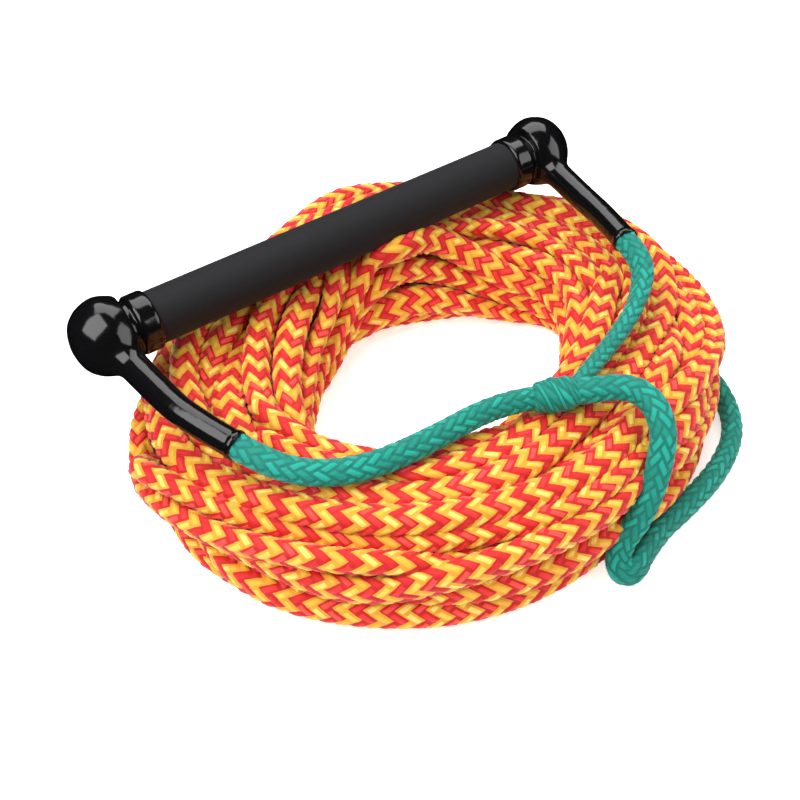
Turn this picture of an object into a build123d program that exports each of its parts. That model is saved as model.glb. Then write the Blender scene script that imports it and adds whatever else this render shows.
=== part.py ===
"""Water-ski tow rope with its handle, coiled for storage, in millimetres.

The bar of the handle lies along +X on top of the coiled line. The origin is the middle of the
coil's hole, on the surface that the coil lies on, and +Z is up. The handle is a foam-covered tube.
A hollow-braid rope runs through it, turns in a moulded core at each end, and leaves through a
dipped sleeve. Its two legs meet in a splice, the lead goes on from there to the main line, and
the main line ends in the loop that goes over the boat's tow hook.
"""

from build123d import *
import math
import os

os.makedirs("parts", exist_ok=True)

# Handle
BAR_X, BAR_Y, BAR_Z = -11.0, 66.0, 85.0  # middle of the bar
GRIP_RADIUS = 15.0
GRIP_HALF = 127.0  # half the foam's length, of which the collars hide the last few millimetres
TUBE_RADIUS = 11.1
TUBE_WALL = 1.6
TUBE_HALF = 136.0
EDGE_BREAK = 0.6

# End caps, by distance from the middle of the bar
COLLAR_START, COLLAR_END = 123.0, 135.0
COLLAR_RADIUS = 16.8
COLLAR_EDGE = 2.0
GROOVE_END, GROOVE_RADIUS = 139.0, 14.6
KNOB_OUTLINE = ((139.0, 18.6), (144.0, 21.8), (153.5, 22.2), (165.2, 15.5), (169.3, 6.0))  # with its radius
KNOB_EDGE = 2.0
CORE_AT, CORE_RADIUS = 149.0, 16.5
SPIGOT_END = 112.0  # how far in the core reaches
SLEEVE_RADIUS = 8.0
LIP_RADIUS, LIP_LENGTH = 8.6, 3.0

# Ropes
GREEN_RADIUS = 6.25
LINE_RADIUS = 6.5
CHANNEL_RADIUS = 6.4  # the way that the handle's rope has through the cores and the sleeves

# Sleeves: points from the knob to the mouth, as distance from the middle of the bar, Y and Z
SLEEVE_ROUTE = ((145, 20, 80.5), (142, -8, 80.0))
MOUTHS = {"left": (129, -38, 76.0), "right": (134, -35, 80.5)}
CORNER_AT = 150.0
SIDES = {"left": -1, "right": 1}

# Splice between the two legs and the lead
SPLICE_START, SPLICE_END = (5.0, -94.0, 71.5), (29.0, -109.5, 75.5)
SPLICE_RADIUS = 8.4
SPLICE_SHOULDER = 0.28  # share of its length on which each end swells to the full radius
MOUTH_RUN = 14.0  # straight run of a rope out of its sleeve
SPLICE_RUN = 10.0  # and into or out of the splice

# Rope routes, from a mouth to the splice or from the splice to the hitch
LEFT_LEG = (
    (-124, -64.5, 72.5), (-110, -74, 71.5), (-93, -79.5, 70.5), (-76, -81.5, 70), (-60, -82, 69.5),
    (-44.5, -82, 69), (-29.5, -82, 69), (-15.5, -84, 69),
)
RIGHT_LEG = (
    (110.5, -60, 77.5), (98, -69, 74), (83, -76.5, 71), (66.5, -82.5, 69.5), (50, -88.5, 70), (35, -94.5, 72),
)
LEAD = (
    (43.5, -124.5, 77.5), (43.5, -136.5, 75.5), (39.5, -147, 69), (34, -152.5, 59), (29, -156, 48.5),
    (23, -158.5, 38.5), (16, -160.5, 29.5), (9, -161, 22), (-1, -161.5, 16.5), (-8, -169, 11.5), (-4.5, -179.5, 7.2),
    (8, -181.5, 7), (19, -173.5, 7), (28, -164.5, 7), (39, -160.5, 7), (52, -159, 7), (68, -156.5, 7), (85, -153, 7),
    (101.5, -147.5, 7), (116.5, -140, 7), (129, -129.5, 7), (138, -116, 7), (144.5, -100, 7), (147, -82, 7),
    (146, -66, 7),
)
HITCH_LENGTH, HITCH_RADIUS = 34.0, 13.0
BOAT_LOOP = (
    (33, -140.5, 51), (8, -146.5, 52), (-18, -147, 52), (-44, -141, 51), (-69, -131, 50), (-93, -117.5, 49),
    (-114, -100.5, 48.5), (-131, -82, 49), (-144.5, -62, 48.5), (-155, -41, 47.5), (-163, -20, 46), (-169, -2, 43),
    (-169, 11, 37), (-160, 15, 29), (-150, 5, 24.5), (-143, -10, 24), (-136, -28, 26), (-127, -46, 27),
    (-116, -64, 27),
)
ARC_SHARE = 0.45  # of the shorter run beside a corner, for the arc there

# Coil: bearing in degrees, inner and outer radius, and height
COIL_STATIONS = (
    (0, 92, 186, 57), (15, 73, 185, 59), (30, 58, 181, 61), (60, 52, 160, 67), (75, 56, 143, 69), (90, 61, 131, 69),
    (120, 66, 132, 68), (150, 71, 153, 63), (180, 83, 181, 60), (210, 80, 176, 61), (240, 77, 168, 62),
    (270, 77, 158, 62), (300, 79, 163, 61), (330, 84, 176, 57), (345, 90, 182, 57),
)
COIL_CORNER = 22.0
COIL_TRIM = 0.5  # cut off below, so that the coil stands on a flat face
TURN_PITCH, TURN_DEPTH = 15.0, 10.5  # room that one turn takes in the coil's section
LINE_LENGTH = 19400.0


def write(name, shape):
    """Writes one node's STEP file and prints what it holds."""
    solids = shape.solids()
    part = solids[0] if len(solids) == 1 else Compound(children=list(solids))
    export_step(part, f"parts/{name}.step")
    print(f"{name}: {len(solids)} solid, {part.volume / 1000:.1f} cm3")


def along_bar(radius, start, end, side=1):
    """A solid rod on the bar's axis between two distances from its middle."""
    place = Plane(origin=(BAR_X + side * start, BAR_Y, BAR_Z), z_dir=(side, 0, 0))
    return extrude(place * Circle(radius), end - start)


def on_side(point, side):
    """A sleeve point on the left (-1) or right (+1) side of the handle."""
    return Vector(BAR_X + side * point[0], point[1], point[2])


def rope_path(name, points):
    """Straight runs joined by arcs as large as the runs beside each corner allow."""
    points = [Vector(p) for p in points]
    radii = []
    for before, corner, after in zip(points, points[1:], points[2:]):
        half_turn = math.radians((corner - before).get_angle(after - corner)) / 2
        shorter = min((corner - before).length, (after - corner).length)
        radii.append(ARC_SHARE * shorter / math.tan(half_turn))
    path = FilletPolyline(*points, radius=radii)
    print(f"{name}: radii {' '.join(f'{r:.0f}' for r in radii)}, length {path.length:.0f}")
    return path


def tube(name, points, radius):
    """A rope's solid along its route, with its volume beside its section times its length."""
    path = rope_path(name, points)
    start = Plane(origin=path @ 0, z_dir=path % 0)
    solid = sweep(start * Circle(radius), path=path, transition=Transition.ROUND)
    print(f"{name}: volume {solid.volume:.0f}, section times length {math.pi * radius**2 * path.length:.0f}")
    return solid


def sleeve_points(side_name):
    side = SIDES[side_name]
    corner = on_side((CORNER_AT, BAR_Y, BAR_Z), side)
    return [corner] + [on_side(p, side) for p in SLEEVE_ROUTE] + [on_side(MOUTHS[side_name], side)]


def core_body(side_name):
    """Moulded ball behind the tube's end, with the spigot that goes into the tube."""
    side = SIDES[side_name]
    ball = Pos(BAR_X + side * CORE_AT, BAR_Y, BAR_Z) * Sphere(CORE_RADIUS)
    ball -= along_bar(CORE_RADIUS, SPIGOT_END, TUBE_HALF, side)
    neck = along_bar(TUBE_RADIUS, TUBE_HALF, CORE_AT, side)
    return ball + neck + along_bar(TUBE_RADIUS - TUBE_WALL, SPIGOT_END, CORE_AT, side)


def knob_body(side):
    """Knob turned from its outline, with its edges rounded."""
    (start, _), *_, (end, _) = KNOB_OUTLINE
    outline = make_face(Polyline((start, 0), *KNOB_OUTLINE, (end, 0), close=True))
    axis_frame = Plane(origin=(BAR_X, BAR_Y, BAR_Z), x_dir=(side, 0, 0), z_dir=(0, -side, 0))
    knob = revolve(axis_frame * outline, Axis((BAR_X, BAR_Y, BAR_Z), (side, 0, 0)))
    outer = [e for e in knob.edges().filter_by(GeomType.CIRCLE) if abs(e.center().X - BAR_X) > start + KNOB_EDGE]
    return fillet(outer, KNOB_EDGE)


def cap_body(side_name):
    """Collar, groove and knob, solid, before what they cover is taken out."""
    side = SIDES[side_name]
    collar = along_bar(COLLAR_RADIUS, COLLAR_START, COLLAR_END, side)
    collar = fillet(collar.edges().filter_by(GeomType.CIRCLE), COLLAR_EDGE)
    groove = along_bar(GROOVE_RADIUS, COLLAR_END - 1, GROOVE_END + 1, side)
    return collar + groove + knob_body(side)


def end_cap(side_name, channel):
    """Dipped PVC skin over the grip's end and the core, drawn out into the rope's sleeve."""
    side = SIDES[side_name]
    points = sleeve_points(side_name)
    sleeve = tube(f"sleeve_{side_name}", points, SLEEVE_RADIUS)
    mouth = points[-1]
    out = (mouth - points[-2]).normalized()
    lip = extrude(Plane(origin=mouth - out * LIP_LENGTH, z_dir=out) * Circle(LIP_RADIUS), LIP_LENGTH)
    inside = along_bar(GRIP_RADIUS, 0, GRIP_HALF, side) + along_bar(TUBE_RADIUS, 0, TUBE_HALF, side)
    inside += core_body(side_name)
    return cap_body(side_name) + sleeve + lip - inside - channel


def splice():
    """Spindle where one leg passes through the braid of the other and both go on as the lead."""
    start, end = Vector(SPLICE_START), Vector(SPLICE_END)
    length = (end - start).length
    shoulder = SPLICE_SHOULDER * length
    profile = Polyline((0, 0), (GREEN_RADIUS, 0)) + Spline(
        (GREEN_RADIUS, 0), (SPLICE_RADIUS, shoulder), (SPLICE_RADIUS, length - shoulder), (GREEN_RADIUS, length)
    )
    profile += Polyline((GREEN_RADIUS, length), (0, length), (0, 0))
    spindle = revolve(Plane.XZ * make_face(profile), Axis.Z)
    return Plane(origin=start, z_dir=end - start).location * spindle


def hitch():
    """The two eyes looped through each other, as the rounded lump they pull down to."""
    end, before = Vector(LEAD[-1]), Vector(LEAD[-2])
    out = (end - before).normalized()
    place = Plane(origin=(end.X, end.Y, HITCH_RADIUS), z_dir=(out.X, out.Y, 0))
    lump = extrude(place * Circle(HITCH_RADIUS), HITCH_LENGTH)
    return fillet(lump.edges().filter_by(GeomType.CIRCLE), HITCH_RADIUS * 0.6)


def coil_section(bearing, inner, outer, height):
    """Rounded section of the coil in the upright plane at one bearing."""
    c, s = math.cos(math.radians(bearing)), math.sin(math.radians(bearing))
    plane = Plane(origin=(0, 0, 0), x_dir=(c, s, 0), z_dir=(s, -c, 0))
    outline = RectangleRounded(outer - inner, height + COIL_TRIM, COIL_CORNER)
    return plane * Pos((inner + outer) / 2, (height - COIL_TRIM) / 2) * outline


def coil():
    """Closed ring of the coiled line's outer shape, lofted in two halves and cut flat below."""
    sections = [coil_section(*s) for s in COIL_STATIONS + COIL_STATIONS[:1]]
    middle = len(COIL_STATIONS) // 2
    ring = loft(sections[: middle + 1]) + loft(sections[middle:])
    return split(ring, Plane.XY, keep=Keep.TOP)


splice_way = (Vector(SPLICE_END) - Vector(SPLICE_START)).normalized()
into_splice = Vector(SPLICE_START) - splice_way * SPLICE_RUN
out_of_splice = Vector(SPLICE_END) + splice_way * SPLICE_RUN
inside_splice = (Vector(SPLICE_START) + Vector(SPLICE_END)) / 2


def leg_start(name):
    """The mouth of a sleeve and the point straight out of it."""
    *_, before, mouth = sleeve_points(name)
    return [mouth, mouth + (mouth - before).normalized() * MOUTH_RUN]


through = sleeve_points("left")[::-1] + sleeve_points("right")
bar_rope = tube("bar_rope", through, GREEN_RADIUS)
channel = tube("channel", through, CHANNEL_RADIUS)
cores = {name: core_body(name) - channel for name in SIDES}
caps = {name: end_cap(name, channel) for name in SIDES}

bar_tube = along_bar(TUBE_RADIUS, -TUBE_HALF, TUBE_HALF) - along_bar(TUBE_RADIUS - TUBE_WALL, -TUBE_HALF, TUBE_HALF)
foam = along_bar(GRIP_RADIUS, -GRIP_HALF, GRIP_HALF)
foam = chamfer(foam.edges().filter_by(GeomType.CIRCLE), EDGE_BREAK)
foam -= along_bar(TUBE_RADIUS, -GRIP_HALF, GRIP_HALF)

knot = splice()
left_leg = tube("bridle_left_leg", [*leg_start("left"), *LEFT_LEG, into_splice, SPLICE_START], GREEN_RADIUS)
right_leg = tube("bridle_right_leg", [*leg_start("right"), *RIGHT_LEG, inside_splice], GREEN_RADIUS) - knot
lead = tube("handle_lead", [SPLICE_END, out_of_splice, *LEAD], GREEN_RADIUS)
line_hitch = hitch()
boat_loop = tube("boat_end_loop", BOAT_LOOP, LINE_RADIUS)
ring = coil()
line_coil = ring - left_leg - right_leg - lead - knot - line_hitch - boat_loop
line_volume = TURN_PITCH * TURN_DEPTH * LINE_LENGTH
print(f"the line fills {line_volume / ring.volume:.2f} of the coil's shape")

write("bar_tube", bar_tube)
write("foam_grip", foam)
write("bar_rope", bar_rope)
for name in SIDES:
    write(f"end_core_{name}", cores[name])
    write(f"end_cap_{name}", caps[name])
write("bridle_left_leg", left_leg)
write("bridle_right_leg", right_leg)
write("bridle_splice", knot)
write("handle_lead", lead)
write("line_hitch", line_hitch)
write("main_line_coil", line_coil)
write("boat_end_loop", boat_loop)
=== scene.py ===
"""Water-ski tow rope with its handle, coiled for storage: looks, cords, floor, lights and camera."""

import math
from collections import namedtuple

import bpy
import numpy as np
from mathutils import Euler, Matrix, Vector


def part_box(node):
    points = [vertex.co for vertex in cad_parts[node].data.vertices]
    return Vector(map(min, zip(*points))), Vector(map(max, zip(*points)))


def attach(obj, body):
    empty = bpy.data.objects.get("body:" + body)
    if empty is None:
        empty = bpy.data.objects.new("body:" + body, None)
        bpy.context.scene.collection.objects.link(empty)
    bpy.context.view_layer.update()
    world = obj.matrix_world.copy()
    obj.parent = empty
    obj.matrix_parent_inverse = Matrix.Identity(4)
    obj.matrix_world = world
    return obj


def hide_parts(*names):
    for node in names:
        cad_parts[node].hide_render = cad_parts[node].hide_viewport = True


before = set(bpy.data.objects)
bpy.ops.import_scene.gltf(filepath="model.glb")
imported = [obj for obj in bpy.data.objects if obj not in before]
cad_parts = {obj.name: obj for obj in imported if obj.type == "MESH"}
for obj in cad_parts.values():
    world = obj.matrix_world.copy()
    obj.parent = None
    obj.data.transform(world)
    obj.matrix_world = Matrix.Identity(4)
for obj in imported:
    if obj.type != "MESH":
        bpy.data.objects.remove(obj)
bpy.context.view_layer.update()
MM = 0.001  # sizes and routes below are in mm, the scene is in metres

# ---------------------------------------------------------------- the handle, placed by the frame
grip_low, grip_high = (np.array(c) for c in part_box("foam_grip"))
BAR = (grip_low + grip_high) / 2 / MM  # middle of the bar, in mm
GRIP_RADIUS = (grip_high - grip_low)[2] / 2 / MM
SIDES = {"left": -1, "right": 1}

# Caps, by distance from the middle of the bar, in mm
COLLAR_START, COLLAR_END = 123.0, 135.0
COLLAR_RADIUS = 16.8
GROOVE_END, GROOVE_RADIUS = 139.0, 14.8
KNOB_AT = 149.0
KNOB_OUTLINE = ((139.0, 18.6), (144.0, 21.9), (153.5, 22.3), (165.2, 15.5), (169.3, 6.0), (169.7, 0.0))
KNOB_RAISE = 0.9  # the dip hangs a little above the bar's axis
LOBES, LOBE_HEIGHT, LOBE_FROM = 3, 0.35, 0.8  # the dip isn't quite round
LOBES_END, LOBES_FADE = 170.0, 12.0
SLEEVE_ROOT, SLEEVE_TIP, SLEEVE_TAPER = 8.6, 7.3, 0.6  # the sleeve's radius at the knob and at its mouth
LIP_RADIUS, LIP_ROUND, LIP_BACK = 7.9, 1.5, 1.6
LIP_BLEND, SLEEVE_BLEND, RING_BLEND, KNOB_BLEND = 1.2, 7.0, 1.0, 4.5  # how softly a cap's parts run together
GROOVE_IN, GROOVE_OUT = 4.0, 6.0  # how far the groove's rod runs into the collar and into the knob
GROOVE_EDGE, COLLAR_EDGE = 0.6, 2.2
CAP_LOW, CAP_HIGH, CAP_STEP = (132, -23, -24), (171, 23, 24), 0.9  # box and step of the grid for a cap's mesh
MARGIN_LOW, MARGIN_HIGH = 12, 3
PULLS, FEEL, LEAST_SLOPE = 6, 0.05, 0.2  # how the mesh is pulled onto the cap's surface
SLEEVE_GRIP = 9.0  # how far inside its sleeve a leg starts
LEAD_GRIP = 13.0  # and the lead inside the splice
CORNER_AT = 150.0
AXIS_REACH = 122.0  # how far out the rope keeps to the bar's axis
INNER_HALVES = 5.6, 5.2  # half the width and thickness of the rope in the bar
INNER_TRIM = 6  # points left out at the sleeves' mouths, where the legs begin
SLEEVE_ROUTE = ((145, 20, 80.5), (142, -8, 80.0))
MOUTHS = {"left": (129, -38, 76.0), "right": (134, -35, 80.5)}

# ---------------------------------------------------------------- rope routes, in mm
LINE_WIDE, LINE_THICK = 15.6, 10.8  # room that the line takes beside its neighbours
SPLICE_START, SPLICE_END = np.array((5.0, -94.0, 71.5)), np.array((29.0, -109.5, 75.5))
MOUTH_RUN, SPLICE_RUN = 14.0, 10.0  # straight runs out of a sleeve and at the splice
SPLICE_BEFORE, SPLICE_AFTER = 5, 19  # how far the lump reaches from the splice's start
LEFT_LEG = (
    (-124, -64.5, 72.5), (-110, -74, 71.5), (-93, -79.5, 70.5), (-76, -81.5, 70), (-60, -82, 69.5),
    (-44.5, -82, 69), (-29.5, -82, 69), (-15.5, -84, 69),
)
RIGHT_LEG = (
    (110.5, -60, 77.5), (98, -69, 74), (83, -76.5, 71), (66.5, -82.5, 69.5), (50, -88.5, 70),
    (35, -94.5, 72),
)
LEAD = (
    (43.5, -124.5, 77.5), (43.5, -136.5, 75.5), (39.5, -147, 69), (34, -152.5, 59), (29, -156, 48.5),
    (23, -158.5, 38.5), (16, -160.5, 29.5), (9, -160.5, 22), (4.5, -161.5, 16), (0.5, -165, 10.5),
    (-0.5, -170.5, 7), (6.5, -173, 7), (16.5, -168, 7), (27, -164, 7), (39, -160.5, 7), (52, -159, 7),
    (68, -156.5, 7), (85, -153, 7), (101.5, -147.5, 7), (116.5, -140, 7), (129, -129.5, 7), (138, -116, 7),
    (144.5, -100, 7), (147, -82, 7), (146, -66, 7),
)
BOAT_LOOP = (
    (33, -140.5, 51), (8, -146.5, 52), (-18, -147, 52), (-44, -141, 51), (-69, -131, 50), (-93, -117.5, 49),
    (-114, -100.5, 48.5), (-132, -82, 49), (-147, -62, 49), (-160, -41, 50), (-170, -19, 51), (-177, -1, 50),
    (-177, 11, 43), (-167, 16, 33), (-153, 6, 26), (-143, -10, 24), (-136, -28, 26), (-127, -46, 27),
    (-116, -64, 27),
)
HITCH_START, HITCH_END = np.array((146.0, -66.0, 13.0)), np.array((146.0, -32.0, 13.0))
HITCH_BEFORE, HITCH_AFTER = 6, 4  # how far the lump goes beyond the hitch's ends
HITCH_FREE = 10.0  # length at the hitch's end that the line doesn't have to keep off
LINE_START, LINE_END = HITCH_END, np.array(BOAT_LOOP[0], float)

# Coil: bearing in degrees, inner and outer radius, and height
COIL_STATIONS = np.array((
    (0, 97, 187, 57), (15, 74, 186, 60), (30, 52, 181, 67), (60, 46, 158, 74), (75, 49, 141, 75),
    (90, 53, 127, 73), (105, 53, 122, 71), (120, 51, 124, 70), (135, 48, 137, 65), (150, 50, 158, 62),
    (165, 64, 172, 60), (180, 84, 181, 60), (193, 98, 182, 61), (207, 99, 180, 62), (225, 94, 174, 63),
    (240, 86, 169, 63), (270, 77, 158, 62), (300, 79, 163, 61), (330, 85, 176, 57), (345, 94, 183, 57),
    (360, 97, 187, 57),
), float)
COIL_CORNER, LEAST_CORNER = 20.0, 4.0
FULL_TURNS = 25
INNER_TURNS = 8.6  # turns wound first, which the others cover
PER_TURN = 48  # points on one turn

# How the turns are laid, before they press on each other. Sweeps are shares of the way round the section
STEP_FROM, STEP_RUN, STEP_SHARE = 0.60, 0.34, 0.65  # where on itself a turn mostly moves over to the next place
OUTLINE_FROM = 0.62  # how far up the outer wall the way round starts
CORE_FROM, CORE_SWEEP, CORE_DEPTH = 0.30, 0.98, 1.55  # depths are in thicknesses of the line
SKIN_SWEEP, SKIN_DEPTH = 0.965, 0.5
COVER_RUN = 0.7  # turns in which the line climbs from the core to the skin
ROLL, ROLL_FROM = 0.15, 150.0  # the bundle rolls round itself by this share of its section, and back again
LAY_SEED, PRESS_SEED = 7, 11
SLOW, FAST = 2.5, 7  # steps of the random curves on each turn
RADIUS_SLOW, RADIUS_FAST = 13.0, 5.0
LEVEL_SLOW, LEVEL_FAST = 8.0, 4.0

# How they press on each other
ROUNDS = 260
STIFF_SHARE, STIFF, SLACK = 0.7, 0.30, 0.18  # stiff in the first rounds, slack in the last
FILL, MOST_ROOM = 0.93, 1.13
PUSH, MOST_PUSH = 0.42, 3.0
BOX_PUSH, OBSTACLE_PUSH = 0.6, 0.7
SAG = 0.05  # in each round
FLOOR_SINK = 0.1

# Room of the line's middle beside what it goes round, over half its own thickness
LOOP_ROOM, COVER_ROOM, LEAD_ROOM, HITCH_ROOM = 6.2, 6.0, 6.0, 11.0
GRIP_ROOM, KNOB_ROOM, SLEEVE_ROOM = 15.0, 22.0, 8.0
LEFT_LEG_ROOM, RIGHT_LEG_ROOM = 5.8, 5.2
BAR_REACH, BAR_POINTS, HITCH_POINTS = 175.0, 60, 8
STRIDE, LEG_STRIDE = 3, 4  # of the points of a line, only these are kept off
COVER = 11.0  # the loop also keeps the space over itself free
COVER_OUT, COVER_UP = 0.6, 0.8

# The turns in front of the bar are heaped up there
ARCH_AT, ARCH_SPAN, ARCH_RISE = 66.0, 48.0, 30.0
ARCH_DEPTH, ARCH_BLEND = 30.0, 10.0  # how far into the bundle
LEAST_REARWARD = 0.3

# How a turn's section is pressed by its neighbours and the floor
MOST_TURNS_APART, NEAR = 28, 32.0  # mm between turns that can touch
PRESS_POWER = 9.0  # how sharply the section turns from its own outline to a flat face
LEAST_HALF = 2.2
FLOOR_GAP, LEAST_FLOOR, DOWNWARD = 0.7, 1.0, 0.05
HALF_WIDE, HALF_PRODUCT = 8.3, 49.0  # half the line's width, and that times half its thickness
WIDE_VARIES, WIDE_RATE = 1.2, 6.0  # rates are again steps on each turn
LEAN_VARIES, LEAN_RATE = 0.9, 5.0
TWIST_VARIES, TWIST_RATE = 0.30, 2.0
KNOT_STEPS = 5  # points of the smooth line from one knot to the next


def bearing_of(point):
    return math.degrees(math.atan2(point[1], point[0]))


def smooth_step(x):
    x = np.clip(x, 0, 1)
    return x * x * (3 - 2 * x)


# ---------------------------------------------------------------- materials
def set_inputs(node, **values):
    for key, value in values.items():
        node.inputs[key.replace("_", " ")].default_value = value


def plain_material(name, colour, **look):
    material = bpy.data.materials.new(name)
    material.use_nodes = True
    set_inputs(material.node_tree.nodes["Principled BSDF"], Base_Color=(*colour, 1), **look)
    return material


def add_relief(material, coordinates, texture, measure, depth):
    """Relief in the shading, in mm, by one output of a texture."""
    nodes, links = material.node_tree.nodes, material.node_tree.links
    height = nodes.new("ShaderNodeDisplacement")
    set_inputs(height, Midlevel=0.5, Scale=depth * MM)
    links.new(coordinates, texture.inputs["Vector"])
    links.new(texture.outputs[measure], height.inputs["Height"])
    links.new(height.outputs["Displacement"], nodes["Material Output"].inputs["Displacement"])
    material.displacement_method = "BUMP"


def fibre_material(name, colour):
    """One tone of braided yarn, with fine filaments along each strand."""
    material = plain_material(
        name, colour, Roughness=0.6, Sheen_Weight=0.2, Sheen_Roughness=0.4, Specular_IOR_Level=0.3)
    nodes = material.node_tree.nodes
    uv = nodes.new("ShaderNodeUVMap")
    uv.uv_map = "strand"
    stretch = nodes.new("ShaderNodeMapping")
    set_inputs(stretch, Scale=(4.5, 0.9, 1))
    material.node_tree.links.new(uv.outputs["UV"], stretch.inputs["Vector"])
    noise = nodes.new("ShaderNodeTexNoise")
    set_inputs(noise, Scale=1.0, Detail=2.0, Roughness=0.6)
    add_relief(material, stretch.outputs["Vector"], noise, "Fac", 0.5)
    return material


def tones(name, *colours):
    return [fibre_material(f"{name}_{k}", colour) for k, colour in enumerate(colours)]


# Three tones for the middle of a float and one, darker, for its sides and ends, where it goes under its
# neighbours: that fourth tone is painted shade in the creases between strands
YELLOW = tones(
    "yellow_yarn", (0.80, 0.52, 0.065), (0.85, 0.62, 0.13), (0.77, 0.43, 0.040), (0.74, 0.34, 0.028))
RED = tones(
    "red_yarn", (0.75, 0.028, 0.026), (0.82, 0.065, 0.052), (0.63, 0.016, 0.016), (0.55, 0.011, 0.011))
GREEN = tones(
    "green_yarn", (0.003, 0.28, 0.215), (0.005, 0.34, 0.26), (0.002, 0.23, 0.175), (0.0015, 0.18, 0.137))


def vinyl_material():
    """Dipped PVC: deep black gloss with a slightly uneven skin."""
    material = plain_material("dipped_pvc", (0.0035, 0.0035, 0.004), Roughness=0.13)
    nodes = material.node_tree.nodes
    noise = nodes.new("ShaderNodeTexNoise")
    set_inputs(noise, Scale=90.0, Detail=2.0)
    add_relief(material, nodes.new("ShaderNodeTexCoord").outputs["Object"], noise, "Fac", 0.25)
    return material


def foam_material():
    """Closed-cell EVA foam: soft black with fine pores."""
    material = plain_material(
        "eva_foam", (0.0085, 0.0085, 0.010), Roughness=0.66, Sheen_Weight=0.03, Sheen_Roughness=0.5,
        Specular_IOR_Level=0.22)
    nodes = material.node_tree.nodes
    pores = nodes.new("ShaderNodeTexVoronoi")
    set_inputs(pores, Scale=2600.0)
    add_relief(material, nodes.new("ShaderNodeTexCoord").outputs["Object"], pores, "Distance", 0.12)
    return material


VINYL = vinyl_material()
FOAM = foam_material()
METAL = plain_material("drawn_aluminium", (0.80, 0.81, 0.82), Metallic=1.0, Roughness=0.32)
MOULDED = plain_material("moulded_core", (0.03, 0.03, 0.03), Roughness=0.5)


# ---------------------------------------------------------------- lines
def nurbs_line(name, points, resolution=12):
    """The points along a smooth NURBS line with these control points, both in mm."""
    curve = bpy.data.curves.new(name, "CURVE")
    curve.dimensions = "3D"
    curve.resolution_u = resolution
    spline = curve.splines.new("NURBS")
    spline.points.add(len(points) - 1)
    for knot, point in zip(spline.points, points):
        knot.co = (*(c * MM for c in point), 1)
    spline.order_u = 3
    spline.use_endpoint_u = True
    holder = bpy.data.objects.new(name, curve)
    mesh = bpy.data.meshes.new_from_object(holder)
    line = np.array([v.co for v in mesh.vertices]) / MM
    bpy.data.meshes.remove(mesh)
    bpy.data.objects.remove(holder)
    bpy.data.curves.remove(curve)
    return line


def evenly(line, step):
    """Points of a line at equal steps, and its length."""
    run = np.concatenate([[0], np.cumsum(np.linalg.norm(np.diff(line, axis=0), axis=1))])
    count = max(int(round(run[-1] / step)), 4)
    at = np.linspace(0, run[-1], count + 1)
    even = np.stack([np.interp(at, run, line[:, k]) for k in range(3)], 1)
    return even, run[-1]


def unit(v):
    return v / np.maximum(np.linalg.norm(v, axis=-1, keepdims=True), 1e-9)


def tangents(line):
    return unit(np.gradient(line, axis=0))


def upright_frames(line):
    """Sideways and upward directions across a line, with no roll about it."""
    along = tangents(line)
    start = unit(np.cross(along, (0, 0, 1.0)))[0]
    across = np.empty_like(along)
    across[0] = unit(start - along[0] * (start @ along[0]))
    for k in range(1, len(line)):
        v = across[k - 1] - along[k] * (across[k - 1] @ along[k])
        across[k] = v / np.linalg.norm(v)
    return across, np.cross(along, across)


# ---------------------------------------------------------------- winding the coil
def coil_section(bearing):
    """Inner radius, outer radius and height of the coil at a bearing."""
    at = np.mod(bearing, 360)
    return [np.interp(at, COIL_STATIONS[:, 0], COIL_STATIONS[:, k]) for k in (1, 2, 3)]


def outline_point(share, inner, outer, height, inset):
    """Where a share of the way round the section lies: from high on the outer wall over the top and round."""
    half_x, half_y = (outer - inner) / 2 - inset, height / 2 - inset
    corner = max(COIL_CORNER - inset, LEAST_CORNER)
    flat_x, flat_y = half_x - corner, half_y - corner
    arc = math.pi / 2 * corner
    runs = [2 * flat_y, arc, 2 * flat_x, arc, 2 * flat_y, arc, 2 * flat_x, arc]
    total = sum(runs)
    left = np.mod(np.mod(share, 1.0) * total + OUTLINE_FROM * runs[0], total)
    x, y = np.zeros_like(left), np.zeros_like(left)
    turn = 0.0
    corners = ((1, 1), (-1, 1), (-1, -1), (1, -1))
    starts = ((1, -1), (1, 1), (-1, 1), (-1, -1))
    ways = ((0, 1), (-1, 0), (0, -1), (1, 0))
    for k in range(4):
        straight, bend = runs[2 * k], runs[2 * k + 1]
        on = (left >= 0) & (left <= straight)
        reach = ((half_x, flat_y), (flat_x, half_y))[k % 2]
        px = starts[k][0] * reach[0] + ways[k][0] * left
        py = starts[k][1] * reach[1] + ways[k][1] * left
        x, y = np.where(on, px, x), np.where(on, py, y)
        left = left - straight
        on = (left >= 0) & (left <= bend)
        angle = turn + left / corner
        px = corners[k][0] * flat_x + corner * np.cos(angle)
        py = corners[k][1] * flat_y + corner * np.sin(angle)
        x, y = np.where(on, px, x), np.where(on, py, y)
        left = left - bend
        turn += math.pi / 2
    return (inner + outer) / 2 + x, height / 2 + y


def wander(rng, turns, per_turn):
    """A slow random curve along the winding, of about unit size."""
    knots = rng.normal(0, 1, int(turns[-1] * per_turn) + 5)
    at = turns * per_turn
    k = np.floor(at).astype(int)
    f = at - k
    weights = ((1 - f) ** 3, 3 * f**3 - 6 * f**2 + 4, -3 * f**3 + 3 * f**2 + 3 * f + 1, f**3)
    return sum(w * knots[k + n] for n, w in enumerate(weights)) / 6


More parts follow.
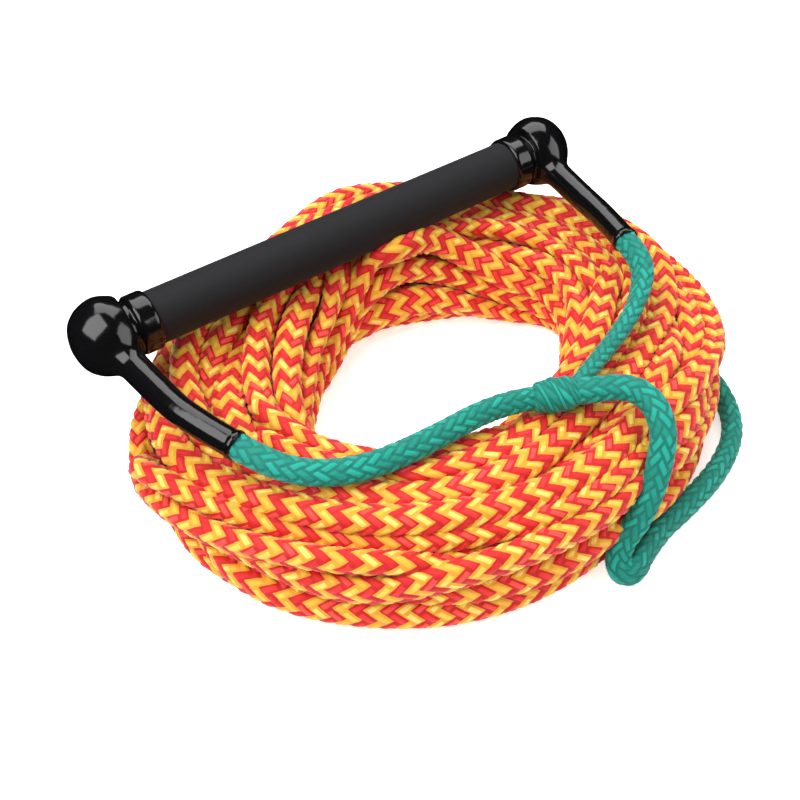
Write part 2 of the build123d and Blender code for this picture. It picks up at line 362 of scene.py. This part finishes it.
def first_winding():
    """Turns laid in order: a loose core, then one layer round it, each turn beside the last."""
    start = bearing_of(LINE_START)
    total = FULL_TURNS + (start - bearing_of(LINE_END)) / 360
    turns = np.arange(int(total * PER_TURN) + 1) / PER_TURN
    bearing = start - 360 * turns
    inner, outer, height = coil_section(bearing)
    whole = np.floor(turns)
    moved = smooth_step((turns - whole - STEP_FROM) / STEP_RUN)
    done = whole + (1 - STEP_SHARE) * (turns - whole) + STEP_SHARE * moved
    roll = ROLL * np.sin(np.radians(bearing - ROLL_FROM))
    core_share = CORE_FROM + CORE_SWEEP * np.clip(done / INNER_TURNS, 0, 1) + roll
    r_core, z_core = outline_point(core_share, inner, outer, height, LINE_THICK * CORE_DEPTH)
    skin_share = SKIN_SWEEP * np.clip((done - INNER_TURNS) / (total - INNER_TURNS), 0, 1) + roll
    r_skin, z_skin = outline_point(skin_share, inner, outer, height, LINE_THICK * SKIN_DEPTH)
    mix = smooth_step((done - INNER_TURNS + COVER_RUN / 2) / COVER_RUN)
    rng = np.random.default_rng(LAY_SEED)
    radius = r_core + (r_skin - r_core) * mix
    radius = radius + RADIUS_SLOW * wander(rng, turns, SLOW) + RADIUS_FAST * wander(rng, turns, FAST)
    level = z_core + (z_skin - z_core) * mix
    level = level + LEVEL_SLOW * wander(rng, turns, SLOW) + LEVEL_FAST * wander(rng, turns, FAST)
    return bearing, radius, level


def flat_side(radius, level, inner, outer, height):
    """Angle in the section that a flattened turn's wide side takes: along the nearest face."""
    x = (radius - (inner + outer) / 2) / ((outer - inner) / 2)
    y = (level - height / 2) / (height / 2)
    steep_x = np.sign(x) * np.abs(x) ** 3 / ((outer - inner) / 2)
    steep_y = np.sign(y) * np.abs(y) ** 3 / (height / 2)
    return np.arctan2(steep_y, steep_x) + math.pi / 2


def push_apart(radius, level, angle, room):
    """How far each turn gives way to the others in its section."""
    dr = radius[:, :, None] - radius[:, None, :]
    dz = level[:, :, None] - level[:, None, :]
    c2, s2 = np.cos(2 * angle), np.sin(2 * angle)
    mean = 0.5 * np.arctan2(s2[:, :, None] + s2[:, None, :], c2[:, :, None] + c2[:, None, :])
    c, s = np.cos(mean), np.sin(mean)
    wide, thick = LINE_WIDE * room, LINE_THICK * room
    t, n = (dr * c + dz * s) / wide, (dz * c - dr * s) / thick
    apart = np.sqrt(t * t + n * n) + 1e-6
    share = np.clip(1 - apart, 0, 1) * PUSH / apart
    diagonal = np.arange(radius.shape[1])
    share[:, diagonal, diagonal] = 0
    t, n = t * wide * share, n * thick * share
    dr, dz = (t * c - n * s).sum(2), (t * s + n * c).sum(2)
    return np.clip(dr, -MOST_PUSH, MOST_PUSH), np.clip(dz, -MOST_PUSH, MOST_PUSH)


def inside_box(radius, level, inner, outer, height):
    """How far a turn has to come in to stay within the coil's outer shape."""
    corner = COIL_CORNER - LINE_THICK / 2
    x, y = radius - (inner + outer) / 2, level - height / 2
    qx = np.abs(x) - ((outer - inner) / 2 - LINE_THICK / 2 - corner)
    qy = np.abs(y) - (height / 2 - LINE_THICK / 2 - corner)
    far = np.hypot(np.maximum(qx, 0), np.maximum(qy, 0))
    out = np.clip(far + np.minimum(np.maximum(qx, qy), 0) - corner, 0, None) * BOX_PUSH
    round_x, round_y = np.maximum(qx, 0) / np.maximum(far, 1e-6), np.maximum(qy, 0) / np.maximum(far, 1e-6)
    gx = np.where(far > 0, round_x, qx > qy) * np.sign(x)
    gy = np.where(far > 0, round_y, qy >= qx) * np.sign(y)
    return -gx * out, -gy * out


def settle(bearing, radius, level, obstacles):
    """Lets the turns press against each other, the coil's outer shape and what lies on or in it."""
    count = len(bearing)
    rows = int(math.ceil(count / PER_TURN))
    full = rows * PER_TURN
    far_off = np.full(full - count, 1e4)
    radius, level = np.concatenate([radius, far_off]), np.concatenate([level, far_off])
    bearing = bearing[0] - 360 * np.arange(full) / PER_TURN
    inner, outer, height = coil_section(bearing)
    room = np.sqrt((outer - inner) * height * FILL / (FULL_TURNS * LINE_WIDE * LINE_THICK))
    room = np.clip(room, 1.0, MOST_ROOM).reshape(rows, PER_TURN)[0][:, None, None]
    real = np.arange(full) < count
    c, s = np.cos(np.radians(bearing)), np.sin(np.radians(bearing))
    ends = {0: LINE_START, count - 1: LINE_END}

    def grid(a):
        return a.reshape(rows, PER_TURN).T

    for step in range(ROUNDS):
        bend = STIFF if step < ROUNDS * STIFF_SHARE else SLACK
        for a in (radius, level):
            a[1 : count - 1] += bend * ((a[: count - 2] + a[2:count]) / 2 - a[1 : count - 1])
        angle = flat_side(radius, level, inner, outer, height)
        dr, dz = push_apart(grid(radius), grid(level), grid(angle), room)
        radius += real * dr.T.ravel()
        level += real * dz.T.ravel()
        dr, dz = inside_box(radius, level, inner, outer, height)
        radius += real * dr
        level += real * dz - SAG * real
        place = np.stack([radius * c, radius * s, level], 1)
        for line, reach in obstacles:
            gap = place[:, None, :] - line[None]
            distance = np.linalg.norm(gap, axis=2)
            nearest = distance.argmin(1)
            rows_at = np.arange(full)
            close = distance[rows_at, nearest]
            way = gap[rows_at, nearest] / np.maximum(close, 1e-6)[:, None]
            need = np.clip(reach - close, 0, None) * OBSTACLE_PUSH * real
            radius += (way[:, 0] * c + way[:, 1] * s) * need
            level += way[:, 2] * need
        level = np.where(real, np.maximum(level, LINE_THICK / 2 - FLOOR_SINK), level)
        for k, point in ends.items():
            radius[k], level[k] = math.hypot(point[0], point[1]), point[2]
    return radius[:count], level[:count]


def heap_up(bearing, radius, level):
    """Lifts the turns that lie on the hole's wall in front of the bar, the upper ones most."""
    away = np.mod(bearing - ARCH_AT + 180, 360) - 180
    samples = np.arange(len(bearing))
    middle = samples + away * PER_TURN / 360  # where this turn passes the middle of the heap
    inner, _, height = coil_section(ARCH_AT)
    on_wall = smooth_step((inner + ARCH_DEPTH - np.interp(middle, samples, radius)) / ARCH_BLEND)
    share = on_wall * np.interp(middle, samples, level) / height
    level = level + ARCH_RISE * share * np.clip(1 - (away / ARCH_SPAN) ** 2, 0, None) ** 2
    reach = GRIP_RADIUS + LINE_THICK / 2
    front = BAR[1] - np.sqrt(np.clip(reach**2 - (level - BAR[2]) ** 2, 0, None))
    rearward = np.maximum(np.sin(np.radians(bearing)), LEAST_REARWARD)
    over = np.where(np.abs(away) < ARCH_SPAN, np.clip(radius * rearward - front, 0, None), 0)
    return radius - on_wall * over / rearward, level


# ---------------------------------------------------------------- braided rope
STRANDS = 8  # in each direction
PITCH = 7.4  # mm of rope in which every strand moves on by one
OUTLINE = 48  # directions in which the section is worked out
SECTION_POWER = 2.3  # 2 is an ellipse, more is squarer
FLOAT_POWER = 0.35  # the smaller, the fuller a float stays up to its ends
FUZZ = 0.12
GRAIN_SHIFT = 3.7  # sets the filaments of one strand apart from the next
Yarn = namedtuple("Yarn", "colours relief cell")  # relief in mm, cell is the mesh faces across one strand
LINE_YARN, GREEN_YARN = Yarn([YELLOW, RED], 0.95, 4), Yarn([GREEN], 0.85, 5)
SPLICE_YARN, INNER_YARN = Yarn([GREEN], 0.9, 5), Yarn([GREEN], 0.6, 4)


def ring_step(yarn):
    return PITCH / (2 * yarn.cell)


def vertex(ring, column, around):
    """Number of the vertex at a ring and a lattice column."""
    return ring * around + (column - ring % 2) // 2 % around


def strand_height(p, q, cell):
    """Height of the braid's surface at a lattice point: each float bulges and dips at its sides and ends."""
    height = np.ones(p.shape)
    for dp in (-0.5, 0.5):
        for dq in (-0.5, 0.5):
            i, j = np.floor((p + dp) / cell), np.floor((q + dq) / cell)
            turn = np.mod(i - j, 4)
            on_top = turn < 2
            across = np.where(on_top, p - cell * i, q - cell * j) / cell
            along_s = (q - cell * j + cell * np.where(turn == 1, 0, 1)) / (2 * cell)
            along_z = (p - cell * i + cell * np.where(turn == 2, 0, 1)) / (2 * cell)
            along = np.where(on_top, along_s, along_z)
            bulge = np.sqrt(np.clip(np.sin(math.pi * across), 0, 1))
            height = np.minimum(height, bulge * np.clip(np.sin(math.pi * along), 0, 1) ** FLOAT_POWER)
    return height


def float_tone(strand, ring_no, over, float_no):
    """Which of three tones each float has, scattered evenly."""
    mixed = (strand % STRANDS) * 7349 + ring_no * 9151 + over * 577 + float_no % 6 * 131
    return (mixed ^ (mixed >> 5)) * 2654435761 % 97 % 3


def braid(name, line, across, up, reach, twist, yarn):
    """Rope mesh of interlaced strands along a line. reach is the section's radius in OUTLINE directions."""
    colours, relief, cell = yarn
    rings, around = len(line), STRANDS * cell
    angles = np.linspace(0, 2 * math.pi, OUTLINE + 1)
    closed = np.concatenate([reach, reach[:, :1]], 1)
    xs, ys = closed * np.cos(angles), closed * np.sin(angles)
    edge = np.hypot(np.diff(xs, axis=1), np.diff(ys, axis=1))
    run = np.concatenate([np.zeros((rings, 1)), np.cumsum(edge, 1)], 1)
    run /= run[:, -1:]
    m = np.arange(rings)[:, None]
    c = 2 * np.arange(around)[None, :] + m % 2
    share = np.mod(c / (2 * around) + twist[:, None], 1.0)
    x = np.stack([np.interp(share[k], run[k], xs[k]) for k in range(rings)])
    y = np.stack([np.interp(share[k], run[k], ys[k]) for k in range(rings)])
    tx, ty = np.roll(x, -1, 1) - np.roll(x, 1, 1), np.roll(y, -1, 1) - np.roll(y, 1, 1)
    size = np.maximum(np.hypot(tx, ty), 1e-6)
    p, q = (m + c) // 2, (m - c) // 2
    fuzz = np.random.default_rng(rings).normal(0, FUZZ, x.shape)
    lift = relief * strand_height(p.astype(float), q.astype(float), cell) + fuzz
    x, y = x + lift * ty / size, y - lift * tx / size
    verts = line[:, None, :] + x[:, :, None] * across[:, None, :] + y[:, :, None] * up[:, None, :]

    mm, cc = m[:-2], c[:-2]
    corners = [vertex(mm + dm, cc + dc, around) for dm, dc in ((0, 0), (1, 1), (2, 0), (1, -1))]
    faces = np.stack([np.broadcast_to(v, cc.shape) for v in corners], 2).reshape(-1, 4)
    # Which strand shows on each face, and how far along and across it the corners are
    i, j = p[:-2] // cell, q[:-2] // cell
    over = np.mod(i - j, 4) < 2
    strand = np.where(over, i, j)
    float_no = np.where(over, np.floor((i - j) / 4), np.floor((i - j - 2) / 4)).astype(int)
    tone = float_tone(strand, (i + j) // 4, over, float_no)
    across_face = np.where(over, p[:-2] - cell * i, q[:-2] - cell * j)
    second_half = np.where(over, np.mod(i - j, 4) == 0, np.mod(i - j, 4) == 3)
    along_face = np.where(over, q[:-2] - cell * j, p[:-2] - cell * i) + cell * second_half
    # faces off a float's middle take the fourth, darker tone: painted shade at the float's sides and ends
    middle = (across_face > 0) & (across_face < cell - 1) & (along_face > 0) & (along_face < 2 * cell - 1)
    palette = np.mod(strand, 2) if len(colours) > 1 else 0 * strand
    which = palette * 4 + np.where(middle, tone, 3)
    us, vs = [], []
    for dp, dq in ((0, 0), (1, 0), (1, 1), (0, 1)):
        us.append(np.where(over, p[:-2] + dp - cell * i, q[:-2] + dq - cell * j) / cell + GRAIN_SHIFT * strand)
        vs.append(np.where(over, q[:-2] + dq, p[:-2] + dp) / cell)
    uv = np.stack([np.stack(us, 2), np.stack(vs, 2)], 3).reshape(-1, 2)
    return rope_object(name, verts.reshape(-1, 3), faces, which.ravel(), uv, colours, around)


def rope_object(name, verts, faces, which, uv, colours, around):
    """Mesh object from the braid's arrays, closed at both ends."""
    rings = len(verts) // around
    start = [vertex(n % 2, n, around) for n in range(2 * around)]
    finish = [vertex(rings - 2 + (n + rings) % 2, n, around) for n in range(2 * around)]
    mesh = bpy.data.meshes.new(name)
    mesh.vertices.add(len(verts))
    mesh.vertices.foreach_set("co", (verts * MM).astype(np.float32).ravel())
    loops = np.concatenate([faces.ravel(), np.array(start[::-1]), np.array(finish)])
    mesh.loops.add(len(loops))
    mesh.loops.foreach_set("vertex_index", loops.astype(np.int32))
    starts = np.concatenate([np.arange(len(faces)) * 4, [len(faces) * 4, len(faces) * 4 + 2 * around]])
    mesh.polygons.add(len(starts))
    mesh.polygons.foreach_set("loop_start", starts.astype(np.int32))
    for palette in colours:
        for material in palette:
            mesh.materials.append(material)
    mesh.polygons.foreach_set("material_index", np.concatenate([which, [0, 0]]).astype(np.int32))
    layer = mesh.uv_layers.new(name="strand")
    padded = np.concatenate([uv, np.zeros((4 * around, 2))])
    layer.data.foreach_set("uv", padded.astype(np.float32).ravel())
    mesh.update(calc_edges=True)
    mesh.validate()
    mesh.shade_smooth()
    rope = bpy.data.objects.new(name, mesh)
    bpy.context.scene.collection.objects.link(rope)
    return rope


def oval(half_wide, half_thick, lean):
    """Section radii of an oval whose wide side leans at an angle, one row for each ring."""
    angles = np.linspace(0, 2 * math.pi, OUTLINE, endpoint=False)[None, :] - lean[:, None]
    wide, thick = np.abs(np.cos(angles)) / half_wide, np.abs(np.sin(angles)) / half_thick
    return (wide**SECTION_POWER + thick**SECTION_POWER) ** (-1 / SECTION_POWER)


# ---------------------------------------------------------------- free ropes and lumps
def sleeve_points(name):
    side = SIDES[name]
    return [np.array((BAR[0] + side * u, y, z)) for u, y, z in
            ((CORNER_AT, BAR[1], BAR[2]), *SLEEVE_ROUTE, MOUTHS[name])]


def leg_start(name):
    *_, before, mouth = sleeve_points(name)
    return [mouth, mouth + unit(mouth - before) * MOUTH_RUN]


splice_way = unit(SPLICE_END - SPLICE_START)
ROUTES = {
    "bridle_left_leg": [*leg_start("left"), *LEFT_LEG, SPLICE_START - splice_way * SPLICE_RUN, SPLICE_START],
    "bridle_right_leg": [*leg_start("right"), *RIGHT_LEG, (SPLICE_START + SPLICE_END) / 2],
    "handle_lead": [SPLICE_END, SPLICE_END + splice_way * SPLICE_RUN, *LEAD],
    "boat_end_loop": list(BOAT_LOOP),
}
LINES = {name: nurbs_line(name, route) for name, route in ROUTES.items()}

# Width, thickness and lean by the share of a rope's length, what is hidden before its start, and its yarn
SECTIONS = {
    "bridle_left_leg": (
        ((0, 12.6), (0.5, 12.0), (1, 11.0)), ((0, 10.4), (1, 9.4)), ((0, 0.2), (1, 0.8)),
        SLEEVE_GRIP, GREEN_YARN),
    "bridle_right_leg": (
        ((0, 12.6),), ((0, 10.8), (0.4, 8.4), (1, 7.8)), ((0, 0.4), (0.4, 1.27)),
        SLEEVE_GRIP, GREEN_YARN),
    "handle_lead": (
        ((0, 12.4),), ((0, 10.4), (0.30, 10.4), (0.36, 8.4), (0.44, 8.4), (0.5, 10.4)), ((0, 0.3), (1, 1.2)),
        LEAD_GRIP, GREEN_YARN),
    "boat_end_loop": (
        ((0, 14), (0.4, 14), (0.55, 15.5), (0.75, 13), (1, 12)), ((0, 11.2),), ((0, 0.95),),
        0, LINE_YARN),
}


def free_rope(name):
    """A rope along its own route."""
    *stations, hidden, yarn = SECTIONS[name]
    line = LINES[name]
    if hidden:
        line = np.vstack([line[0] - unit(line[1] - line[0]) * hidden, line])
    line, length = evenly(line, ring_step(yarn))
    share = np.linspace(0, 1, len(line))
    wide, thick, lean = (np.interp(share, *zip(*pairs)) for pairs in stations)
    reach = oval(wide[:, None] / 2, thick[:, None] / 2, lean)
    return braid(name + "_rope", line, *upright_frames(line), reach, 0 * share, yarn), line, length


green_pieces = {name: free_rope(name) for name in ("bridle_left_leg", "bridle_right_leg", "handle_lead")}


def lump(name, start, end, yarn, radius, swell, fullness, ripple, waves, wide, thick, lean, twist):
    """A spindle of braid, which swells from its ends to its middle and ripples along its length."""
    line, _ = evenly(np.stack([start, end]), ring_step(yarn))
    share = np.linspace(0, 1, len(line))
    size = radius + swell * np.sin(math.pi * share) ** fullness + ripple * np.sin(share * waves)
    reach = oval(wide * size[:, None], thick * size[:, None], lean + 0 * share)
    return braid(name, line, *upright_frames(line), reach, twist * share, yarn)


splice_piece = lump(
    "bridle_splice_rope", SPLICE_START - splice_way * SPLICE_BEFORE, SPLICE_START + splice_way * SPLICE_AFTER,
    SPLICE_YARN, radius=4.6, swell=3.6, fullness=0.45, ripple=0.3, waves=19, wide=1.04, thick=0.96, lean=0.5,
    twist=0.9)


def inner_rope():
    """The handle's rope through one sleeve, the bar and the other sleeve."""
    on_axis = [BAR + (side * AXIS_REACH, 0, 0) for side in SIDES.values()]
    through = nurbs_line("through", sleeve_points("left")[::-1] + on_axis + sleeve_points("right"))
    line, _ = evenly(through[INNER_TRIM:-INNER_TRIM], ring_step(INNER_YARN))
    straight = 0 * line[:, 0]
    half_wide, half_thick = (half + straight[:, None] for half in INNER_HALVES)
    reach = oval(half_wide, half_thick, straight)
    return braid("bar_rope_braid", line, *upright_frames(line), reach, straight, INNER_YARN)


bar_rope_piece = inner_rope()


# ---------------------------------------------------------------- main line
def obstacles():
    """What the line keeps off: lines of points, each with the room that the line's middle needs beside it."""
    near_loop = nurbs_line("near_loop", BOAT_LOOP[1:])
    outward = unit(near_loop * (1, 1, 0)) * COVER_OUT + (0, 0, COVER_UP)
    hitch = np.linspace(HITCH_START, HITCH_END - (0, HITCH_FREE, 0), HITCH_POINTS)
    bar = np.linspace(BAR - (BAR_REACH, 0, 0), BAR + (BAR_REACH, 0, 0), BAR_POINTS)
    knobs = np.array([BAR + (side * KNOB_AT, 0, 0) for side in SIDES.values()])
    sleeves = np.concatenate([nurbs_line("sleeve", sleeve_points(name)) for name in SIDES])
    return [(line, LINE_THICK / 2 + room) for line, room in (
        (near_loop[::STRIDE], LOOP_ROOM),
        ((near_loop + COVER * outward)[::STRIDE], COVER_ROOM),
        (LINES["handle_lead"][::STRIDE], LEAD_ROOM),
        (hitch, HITCH_ROOM),
        (bar, GRIP_ROOM),
        (knobs, KNOB_ROOM),
        (sleeves[::STRIDE], SLEEVE_ROOM),
        (LINES["bridle_left_leg"][::LEG_STRIDE], LEFT_LEG_ROOM),
        (LINES["bridle_right_leg"][::LEG_STRIDE], RIGHT_LEG_ROOM),
    )]


def main_line():
    bearing, radius, level = first_winding()
    radius, level = settle(bearing, radius, level, obstacles())
    radius, level = heap_up(bearing, radius, level)
    c, s = np.cos(np.radians(bearing)), np.sin(np.radians(bearing))
    knots = np.stack([radius * c, radius * s, level], 1)
    knots[-1] = LINE_END
    return evenly(nurbs_line("main_line", knots, KNOT_STEPS), ring_step(LINE_YARN))


def neighbours_reach(reach, line, turn):
    """Cuts each section back to half way to the turns beside it, so that they press flat."""
    angles = np.linspace(0, 2 * math.pi, OUTLINE, endpoint=False)
    ways = np.stack([np.cos(angles), np.sin(angles)])
    total = reach**-PRESS_POWER
    here = np.hypot(line[:, 0], line[:, 1])
    for n in range(-MOST_TURNS_APART, MOST_TURNS_APART + 1):
        at = turn + n
        there = (at > turn[0]) & (at < turn[-1])
        r = np.interp(at, turn, here)
        z = np.interp(at, turn, line[:, 2])
        dx, dy = r - here, z - line[:, 2]
        near = np.flatnonzero(there & (dx * dx + dy * dy < NEAR**2))
        if n == 0 or not len(near):
            continue
        facing = np.stack([dx[near], dy[near]], 1) @ ways
        apart = (dx[near] ** 2 + dy[near] ** 2)[:, None]
        half_way = apart / (2 * np.maximum(facing, 1e-3))
        total[near] += np.where(facing > 0, np.maximum(half_way, LEAST_HALF) ** -PRESS_POWER, 0)
    drop = np.maximum(-ways[1][None, :], 1e-3)
    floor = np.maximum(line[:, 2:3] - FLOOR_GAP, LEAST_FLOOR) / drop
    total += np.where(ways[1][None, :] < -DOWNWARD, floor**-PRESS_POWER, 0)
    return total ** (-1 / PRESS_POWER)


def line_rope():
    line, length = main_line()
    along = tangents(line)
    outward = unit(line * (1, 1, 0))
    across = unit(outward - along * (outward * along).sum(1)[:, None])
    up = np.cross(along, across)
    up *= np.sign(up[:, 2:3])
    bearing = np.unwrap(np.arctan2(line[:, 1], line[:, 0]))
    turn = (bearing[0] - bearing) / (2 * math.pi)
    inner, outer, height = coil_section(np.degrees(bearing))
    lean = flat_side(np.hypot(line[:, 0], line[:, 1]), line[:, 2], inner, outer, height)
    rng = np.random.default_rng(PRESS_SEED)
    lean = lean + LEAN_VARIES * wander(rng, turn, LEAN_RATE)
    half_wide = HALF_WIDE + WIDE_VARIES * wander(rng, turn, WIDE_RATE)[:, None]
    reach = neighbours_reach(oval(half_wide, HALF_PRODUCT / half_wide, lean), line, turn)
    twist = TWIST_VARIES * wander(rng, turn, TWIST_RATE)
    return braid("main_line", line, across, up, reach, twist, LINE_YARN), line, length


main_rope, main_path, main_length = line_rope()
loop_piece, loop_path, loop_length = free_rope("boat_end_loop")
hitch_way = unit(HITCH_END - HITCH_START)
hitch_piece = lump(
    "line_hitch_rope", HITCH_START - hitch_way * HITCH_BEFORE, HITCH_END + hitch_way * HITCH_AFTER,
    LINE_YARN, radius=6.0, swell=5.6, fullness=0.5, ripple=0.8, waves=11, wide=1, thick=1, lean=0, twist=1.3)


# ---------------------------------------------------------------- end caps
def soft_min(a, b, blend):
    h = np.clip(0.5 + 0.5 * (b - a) / blend, 0, 1)
    return b + (a - b) * h - blend * h * (1 - h)


def rod(points, radius, start, end, edge):
    """Signed distance to a rod on the bar's axis with rounded edges."""
    away = np.hypot(points[:, 1], points[:, 2]) - (radius - edge)
    beyond = np.abs(points[:, 0] - (start + end) / 2) - ((end - start) / 2 - edge)
    outside = np.hypot(np.maximum(away, 0), np.maximum(beyond, 0))
    return outside + np.minimum(np.maximum(away, beyond), 0) - edge


def tapered(points, line, radii):
    """Signed distance to a tube of changing radius along a line."""
    best = np.full(len(points), 1e9)
    for a, b, ra, rb in zip(line, line[1:], radii, radii[1:]):
        ab = b - a
        share = np.clip((points - a) @ ab / (ab @ ab), 0, 1)
        away = np.linalg.norm(points - a - share[:, None] * ab, axis=1)
        best = np.minimum(best, away - (ra + (rb - ra) * share))
    return best


def knob_distance(points):
    """Signed distance to the knob, turned from its outline with rounded corners and a slightly uneven skin."""
    u, y, z = points[:, 0], points[:, 1], points[:, 2] - KNOB_RAISE
    lobes = LOBE_HEIGHT * np.sin(LOBES * np.arctan2(z, y) + LOBE_FROM)
    away = np.hypot(y, z) + lobes * smooth_step((LOBES_END - u) / LOBES_FADE)
    value = np.full(len(points), -1e3)
    for (ua, ra), (ub, rb) in zip(KNOB_OUTLINE, KNOB_OUTLINE[1:]):
        size = math.hypot(ub - ua, rb - ra)
        face = ((u - ua) * (ra - rb) + (away - ra) * (ub - ua)) / size
        value = -soft_min(-value, -face, KNOB_BLEND)
    return value


def cap_distance(points, arm, arm_radii, mouth, out):
    """Signed distance to the cap: collar, groove, knob and sleeve, blended as a dipped skin is."""
    sleeve = tapered(points, arm, arm_radii)
    beyond_mouth = (points - mouth) @ out
    off_axis = np.linalg.norm(points - mouth - beyond_mouth[:, None] * out, axis=1)
    lip = np.hypot(off_axis - (LIP_RADIUS - LIP_ROUND), beyond_mouth + LIP_BACK) - LIP_ROUND
    sleeve = np.maximum(soft_min(sleeve, lip, LIP_BLEND), beyond_mouth)
    knob = np.maximum(knob_distance(points), GROOVE_END - points[:, 0])
    body = soft_min(knob, sleeve, SLEEVE_BLEND)
    groove = rod(points, GROOVE_RADIUS, COLLAR_END - GROOVE_IN, GROOVE_END + GROOVE_OUT, GROOVE_EDGE)
    collar = rod(points, COLLAR_RADIUS, COLLAR_START, COLLAR_END, COLLAR_EDGE)
    return soft_min(soft_min(body, groove, RING_BLEND), collar, RING_BLEND)


def surface_nets(distance, low, high, step):
    """Quad mesh of a distance function's zero surface, pulled onto it."""
    axes = [np.arange(start, end + step, step) for start, end in zip(low, high)]
    grid = np.stack(np.meshgrid(*axes, indexing="ij"), -1).reshape(-1, 3)
    inside = distance(grid).reshape([len(axis) for axis in axes]) < 0
    nx, ny, nz = (n - 1 for n in inside.shape)
    count = sum(inside[i : nx + i, j : ny + j, k : nz + k].astype(int)
                for i in (0, 1) for j in (0, 1) for k in (0, 1))
    mixed = (count > 0) & (count < 8)
    number = np.full(count.shape, -1)
    number[mixed] = np.arange(mixed.sum())
    verts = (np.argwhere(mixed) + 0.5) * step + np.array([axis[0] for axis in axes])
    faces = []
    for axis in range(3):
        moved = np.moveaxis(inside, axis, 0)
        cells = np.moveaxis(number, axis, 0)
        here, there = moved[:-1, 1:-1, 1:-1], moved[1:, 1:-1, 1:-1]
        quad = [cells[:, :-1, :-1], cells[:, 1:, :-1], cells[:, 1:, 1:], cells[:, :-1, 1:]]
        forward, backward = here & ~there, there & ~here
        if axis == 1:
            forward, backward = backward, forward
        faces.append(np.stack([q[forward] for q in quad], 1))
        faces.append(np.stack([q[backward] for q in quad[::-1]], 1))
    for _ in range(PULLS):
        value = distance(verts)
        slope = np.stack([distance(verts + d) - value for d in np.eye(3) * FEEL], 1) / FEEL
        verts = verts - slope * (value / np.maximum((slope**2).sum(1), LEAST_SLOPE))[:, None]
    return verts, np.concatenate(faces)


def end_cap(name):
    """Dipped end, made at the origin along +X and then put on its side of the bar."""
    side = SIDES[name]
    flip = np.array((side, 1, 1))
    arm = (nurbs_line("arm", sleeve_points(name))[::2] - BAR) * flip
    share = np.linspace(0, 1, len(arm))
    radii = SLEEVE_ROOT + (SLEEVE_TIP - SLEEVE_ROOT) * share**SLEEVE_TAPER
    mouth, out = arm[-1], unit(arm[-1] - arm[-2])

    def distance(points):
        return cap_distance(points, arm, radii, mouth, out)

    low = np.minimum(arm.min(0), CAP_LOW) - MARGIN_LOW
    high = np.maximum(arm.max(0), CAP_HIGH) + MARGIN_HIGH
    verts, faces = surface_nets(distance, low, high, CAP_STEP)
    if side < 0:
        faces = faces[:, ::-1]
    mesh = bpy.data.meshes.new(f"cap_{name}")
    mesh.from_pydata(((verts * flip + BAR) * MM).tolist(), [], faces.tolist())
    mesh.materials.append(VINYL)
    mesh.update()
    mesh.shade_smooth()
    cap = bpy.data.objects.new(f"cap_{name}", mesh)
    bpy.context.scene.collection.objects.link(cap)
    return cap


caps = {name: end_cap(name) for name in SIDES}

# ---------------------------------------------------------------- CAD nodes that stay
KEPT = {"bar_tube": METAL, "foam_grip": FOAM, "end_core_left": MOULDED, "end_core_right": MOULDED}
for node, material in KEPT.items():
    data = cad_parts[node].data
    data.materials.clear()
    data.materials.append(material)

# ---------------------------------------------------------------- what stands for what
for name, cap in caps.items():
    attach(cap, "root")
    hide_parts(f"end_cap_{name}")
for name, (rope, _, _) in green_pieces.items():
    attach(rope, "root")
    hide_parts(name)
for piece, node, slot in (
    (splice_piece, "bridle_splice", "handle_rope"), (main_rope, "main_line_coil", "line_rope"),
    (loop_piece, "boat_end_loop", "line_rope"), (hitch_piece, "line_hitch", "line_rope"),
    (bar_rope_piece, "bar_rope", "handle_rope"),
):
    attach(piece, "root")
    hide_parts(node)


# ---------------------------------------------------------------- floor, lights and camera
scene = bpy.context.scene
FLOOR_HALF = 6.0
LIGHTS_AIM = Vector((0, 0, 0.04))
CAMERA_PLACE, CAMERA_TILT, CAMERA_TURN, CAMERA_LENS = (-0.2946, -0.376, 0.474), 45, -36.4, 49.8


def area_light(name, place, size, power):
    data = bpy.data.lights.new(name, "AREA")
    data.shape = "RECTANGLE"
    data.size, data.size_y = size
    data.energy = power
    light = bpy.data.objects.new(name, data)
    scene.collection.objects.link(light)
    light.location = place
    light.rotation_euler = (LIGHTS_AIM - Vector(place)).to_track_quat("-Z", "Y").to_euler()


def white_floor():
    mesh = bpy.data.meshes.new("floor")
    corners = [(x * FLOOR_HALF, y * FLOOR_HALF, 0) for x, y in ((-1, -1), (1, -1), (1, 1), (-1, 1))]
    mesh.from_pydata(corners, [], [(0, 1, 2, 3)])
    mesh.materials.append(plain_material(
        "white_sweep", (0.95, 0.95, 0.95), Roughness=0.9, Emission_Color=(1, 1, 1, 1), Emission_Strength=0.55))
    floor = bpy.data.objects.new("floor", mesh)
    scene.collection.objects.link(floor)
    floor.visible_glossy = False


white_floor()
world = bpy.data.worlds.new("studio")
scene.world = world
world.use_nodes = True
set_inputs(world.node_tree.nodes["Background"], Color=(1, 1, 1, 1), Strength=0.30)
world.cycles_visibility.glossy = False
area_light("key", (-0.75, -0.05, 1.05), (1.0, 1.2), 18)
area_light("top", (0.35, 0.55, 1.15), (1.4, 0.9), 14)
area_light("fill", (0.75, -0.85, 0.75), (1.1, 0.7), 7)
scene.view_settings.view_transform = "Standard"

camera = bpy.data.objects.new("camera", bpy.data.cameras.new("camera"))
scene.collection.objects.link(camera)
camera.location = CAMERA_PLACE
camera.rotation_euler = Euler((math.radians(CAMERA_TILT), 0, math.radians(CAMERA_TURN)))
camera.data.lens = CAMERA_LENS
scene.camera = camera
